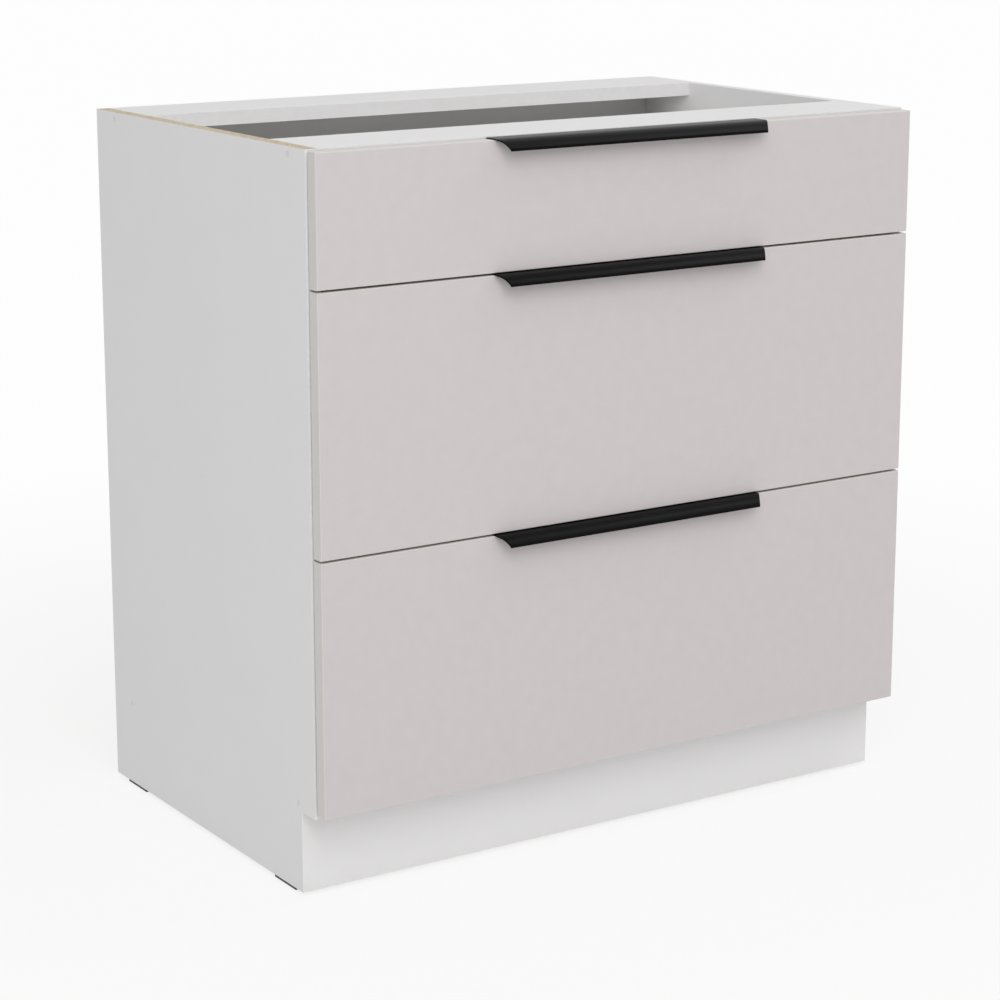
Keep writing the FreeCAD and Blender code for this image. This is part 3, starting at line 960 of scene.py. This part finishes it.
# %% Turn and place a shape
def turned_copies(shape, placed):
    """A shape that runs along +Z, turned to each direction and moved to each place."""
    points, faces = shape
    groups = []
    for place, direction in placed:
        turn = Vector((0, 0, 1)).rotation_difference(Vector(direction)).to_matrix()
        groups.append(points @ np.array(turn).T + np.array(place))
    steps = np.arange(len(groups))[:, None, None] * len(points)
    return np.concatenate(groups), (faces[None, :, :] + steps).reshape(-1, 4)


def both_hands(placed):
    """The places and directions, and their mirror images in the middle plane."""
    mirror = np.array([-1, 1, 1])
    return placed + [(np.array(place) * mirror, np.array(way) * mirror) for place, way in placed]


def from_edge(x, depth, z):
    """Point from a width and a depth behind the front edges, in millimetres, and a height."""
    return (x * millimetre, front_edge + depth * millimetre, z)


forwards, upwards, inwards, outwards = (0, -1, 0), (0, 0, 1), (1, 0, 0), (-1, 0, 0)
print("front edges of the boards at", round(front_edge, 4), "m")

# %% [markdown]
# Each drawer has four long screws through the box into its front, two short ones in each of
# its channels, and two short ones through the leg of its pull.

# %% Screws of each drawer
front_screw_place = (-251.5, 10)
front_screw_low = 26 * millimetre
front_screw_high = 16 * millimetre
channel_screw_x = -372.5
channel_screw_depths = (53, 353)
pull_screw_place = (-135.75, -0.5)
pull_screw_down = 7 * millimetre

for level in levels:
    box_low, box_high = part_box("box_front_" + level)
    heights = (box_low[2] + front_screw_low, box_high[2] - front_screw_high)
    placed = both_hands([(from_edge(*front_screw_place, z), forwards) for z in heights])
    points, faces = turned_copies(front_screw, placed)
    piece = make_piece("recessed_front_screws_" + level, points, faces, small_steel, 35)
    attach(piece, "drawer_" + level)
    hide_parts("front_screws_" + level)

    slide_low, slide_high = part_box("drawer_slides_" + level)
    slide_z = (slide_low[2] + slide_high[2]) / 2
    pull_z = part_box("drawer_front_" + level)[1][2] - pull_screw_down
    placed = [(from_edge(channel_screw_x, y, slide_z), inwards) for y in channel_screw_depths]
    placed.append((from_edge(*pull_screw_place, pull_z), forwards))
    points, faces = turned_copies(short_screw, both_hands(placed))
    piece = make_piece("recessed_short_screws_" + level, points, faces, small_steel, 35)
    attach(piece, "drawer_" + level)
    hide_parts("short_screws_" + level)
    print(level, "drawer: 4 front screws and", 2 * len(placed), "short ones")

# %% [markdown]
# The carcass has short screws too, two in each cabinet channel and two in each corner block
# behind the plinth. They share one node, so they become one piece.

# %% Screws of the carcass
wall_screw_x = -382.8
wall_screw_depths = (37, 261)
block_to_plinth = (-369.1, 48.4)
block_to_side = (-381, 60.3)
middle_block_to_plinth = (-7.1, 48.4)
middle_block_to_bottom = (-7.1, 60.3)
block_screw_up = 5.875 * millimetre
plinth_screw_down = 14.9 * millimetre
bottom_screw_down = 3 * millimetre

placed = []
for level in levels:
    slide_low, slide_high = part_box("cabinet_slides_" + level)
    slide_z = (slide_low[2] + slide_high[2]) / 2
    placed += [(from_edge(wall_screw_x, y, slide_z), outwards) for y in wall_screw_depths]
block_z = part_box("plinth_blocks")[0][2] + block_screw_up
placed.append((from_edge(*block_to_plinth, block_z), forwards))
placed.append((from_edge(*block_to_side, block_z), outwards))
placed = both_hands(placed)
under_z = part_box("bottom_panel")[0][2]
placed.append((from_edge(*middle_block_to_plinth, under_z - plinth_screw_down), forwards))
placed.append((from_edge(*middle_block_to_bottom, under_z - bottom_screw_down), upwards))
points, faces = turned_copies(short_screw, placed)
piece = make_piece("recessed_short_screws_carcass", points, faces, small_steel, 35)
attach(piece, "cabinet")
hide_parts("short_screws_carcass")
print("carcass:", len(placed), "short screws")

# %% [markdown]
# ## Caps
# The connectors that come through the sides are hidden under small plastic caps, faint
# round spots in the photograph. A cap is pressed in flush. Its rim is rounded and its face
# a little dished, which is what the eye catches, because the dish takes its light at other
# angles than the flat board round it.


# %% Build the caps
cap_rounding = 0.35 * millimetre
cap_x = -400
cap_depths = (37, 453)


def cap_shape(radius, dish, thickness):
    """Rings from the middle outwards: a shallow bowl, a quarter-round rim and a straight skirt.

    The bowl's depth at radius r is dish (1 - (r / inner)^2), the rim falls by its own width.
    """
    inner = radius - cap_rounding
    bowl = np.linspace(0, inner, 9)
    turn = np.linspace(0, math.pi / 2, 5)[1:]
    ring = np.concatenate([bowl, inner + cap_rounding * np.sin(turn), [radius, 0]])[:, None]
    dished = dish * (1 - (bowl / inner) ** 2)
    rounded = cap_rounding * (1 - np.cos(turn))
    depth = np.concatenate([dished, rounded, [thickness, thickness]])[:, None]
    angle = np.linspace(0, 2 * math.pi, spokes, endpoint=False)[None, :]
    points = np.stack([ring * np.cos(angle), ring * np.sin(angle), depth + 0 * angle], axis=-1)
    return points.reshape(-1, 3), grid_faces(len(ring), spokes, True)


cap = cap_shape(radius=3.7 * millimetre, dish=0.55 * millimetre, thickness=1.2 * millimetre)
heights = [sum(corner[2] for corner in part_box(name)) / 2 for name in ("front_rail", "bottom_panel")]
placed = [(from_edge(cap_x, depth, z), inwards) for depth in cap_depths for z in heights]
points, faces = turned_copies(cap, both_hands(placed))
caps = make_piece("dished_caps", points, faces, white_plastic, 60)
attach(caps, "cabinet")
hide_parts("screw_caps")
print("caps:", 2 * len(placed))

# %% [markdown]
# ## Floor and light
# The studio is plain: a wide white floor, an even white sky, one large soft lamp in front
# and a small one at the upper right, which draws a light line along each black pull. The
# lamps stay at a level at which a colour renders as it is written. To the camera, and in
# gloss, the sky is plain white and the floor nearly so, least of all near the cabinet, where
# it keeps a soft shadow.


# %% Floor
floor_reach = 60.0
floor_lines = 9


def stage_floor():
    """Flat square grid, far larger than the picture."""
    along = np.linspace(-floor_reach, floor_reach, floor_lines)
    x, y = np.meshgrid(along, along, indexing="xy")
    points = np.stack([x, y, np.zeros_like(x)], axis=-1)
    mesh = bpy.data.meshes.new("studio_floor")
    faces = grid_faces(floor_lines, floor_lines, False)
    mesh.from_pydata(points.reshape(-1, 3).tolist(), [], faces.tolist())
    floor = bpy.data.objects.new("studio_floor", mesh)
    bpy.context.scene.collection.objects.link(floor)
    return floor


floor = stage_floor()
floor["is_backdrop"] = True
print("floor reaches", tuple(floor.dimensions))

# %% [markdown]
# The floor is matt. What the camera and gloss see of it is mostly a white of its own, and
# the rest is lit and shaded as any floor is. Near the cabinet the lit share is larger.


# %% White of the floor
shadow_near, shadow_far = 0.5, 2.0


def seen_rays(holder):
    """1 for a ray of the camera, of a gloss or through a clear thing, and 0 for light itself."""
    rays = holder.node_tree.nodes.new("ShaderNodeLightPath")
    seen = reckon(holder, "MAXIMUM", rays.outputs["Is Camera Ray"], rays.outputs["Is Glossy Ray"])
    return reckon(holder, "MAXIMUM", seen, rays.outputs["Is Transmission Ray"])


def floor_finish(near_white, far_white):
    """Matt white floor that shows a share of pure white to camera, gloss and clear rays.

    The share grows between the two distances, so the shadow stays beside the cabinet.
    """
    finish = bpy.data.materials.new("studio_white")
    finish.use_nodes = True
    tree = finish.node_tree
    tree.nodes.clear()
    distance = tree.nodes.new("ShaderNodeVectorMath")
    distance.operation = "LENGTH"
    link(finish, tree.nodes.new("ShaderNodeTexCoord").outputs["Object"], distance.inputs[0])
    own_white = tree.nodes.new("ShaderNodeMapRange")
    own_white.interpolation_type = "SMOOTHSTEP"
    ends = {"From Min": shadow_near, "From Max": shadow_far, "To Min": near_white, "To Max": far_white}
    for end, value in ends.items():
        own_white.inputs[end].default_value = value
    link(finish, distance.outputs["Value"], own_white.inputs["Value"])
    matt = tree.nodes.new("ShaderNodeBsdfDiffuse")
    matt.inputs["Color"].default_value = (0.9, 0.9, 0.9, 1.0)
    glow = tree.nodes.new("ShaderNodeEmission")
    share = reckon(finish, "MULTIPLY", seen_rays(finish), own_white.outputs["Result"])
    mix = tree.nodes.new("ShaderNodeMixShader")
    link(finish, share, mix.inputs["Fac"])
    link(finish, matt.outputs["BSDF"], mix.inputs[1])
    link(finish, glow.outputs["Emission"], mix.inputs[2])
    output = tree.nodes.new("ShaderNodeOutputMaterial")
    link(finish, mix.outputs["Shader"], output.inputs["Surface"])
    return finish


floor.data.materials.append(floor_finish(near_white=0.8, far_white=0.97))
print("floor finish:", floor.data.materials[0].name)

# %% [markdown]
# The sky gives a little more than half of a full white's light, and the lamps add the rest.


# %% Sky and lamps
def even_sky(level_of_light):
    """World of one white: a set strength for the light it gives, and 1 where it is seen."""
    world = bpy.data.worlds.new("even_sky")
    bpy.context.scene.world = world
    world.use_nodes = True
    tree = world.node_tree
    sky = tree.nodes["Background"]
    strength = tree.nodes.new("ShaderNodeMapRange")
    strength.inputs["To Min"].default_value = level_of_light
    strength.inputs["To Max"].default_value = 1.0
    tree.links.new(seen_rays(world), strength.inputs["Value"])
    tree.links.new(strength.outputs["Result"], sky.inputs["Strength"])
    sky.inputs["Color"].default_value = (1.0, 1.0, 1.0, 1.0)


def soft_lamp(name, place, aim, size, watts):
    """Square lamp at a place, turned towards a point."""
    lamp = bpy.data.lights.new(name, "AREA")
    lamp.size = size
    lamp.energy = watts
    holder = bpy.data.objects.new(name, lamp)
    holder.location = place
    holder.rotation_euler = (Vector(aim) - Vector(place)).to_track_quat("-Z", "Y").to_euler()
    bpy.context.scene.collection.objects.link(holder)


even_sky(level_of_light=0.55)
soft_lamp("key_lamp", place=(-1.8, -3.9, 3.75), aim=(0.0, 0.0, 0.45), size=3.6, watts=110)
soft_lamp("rim_lamp", place=(1.9, -0.8, 2.9), aim=(0.0, -0.2, 0.6), size=0.8, watts=9)

# %% [markdown]
# ## Camera
# The photograph looks at the left front corner from a little above. Its uprights are
# upright, as with a shift lens. A camera with that much shift would lose the object in
# every other view, so this one tilts down instead, from the place and with the lens that
# put the cabinet's corners nearest to where the photograph has them.

# %% Set the camera
camera_place = (-1.746, -2.669, 1.135)
heading = math.radians(33.01)
tilt_down = math.radians(12.76)
focal_over_width = 2.727
picture_shift = -0.05

camera = bpy.data.objects.new("camera", bpy.data.cameras.new("camera"))
camera.data.lens = focal_over_width * camera.data.sensor_width
camera.data.shift_y = picture_shift
camera.location = camera_place
camera.rotation_euler = (math.pi / 2 - tilt_down, 0.0, -heading)
bpy.context.scene.collection.objects.link(camera)
bpy.context.scene.camera = camera
bpy.context.scene.view_settings.view_transform = "Standard"
print("lens:", round(camera.data.lens, 1), "mm")

# %% [markdown]
# ## Sizes
# The dressed cabinet should keep the size of the imported one, so the growth of its box over
# the imported box is printed.

# %% Write the sizes
undressed = [name for name, node in nodes.items() if not node.data.materials]
print("nodes without a finish:", undressed)
low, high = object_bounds()
print("grows by", [round((b - a) / millimetre, 2) for a, b in zip(cad_high, high)], "mm")
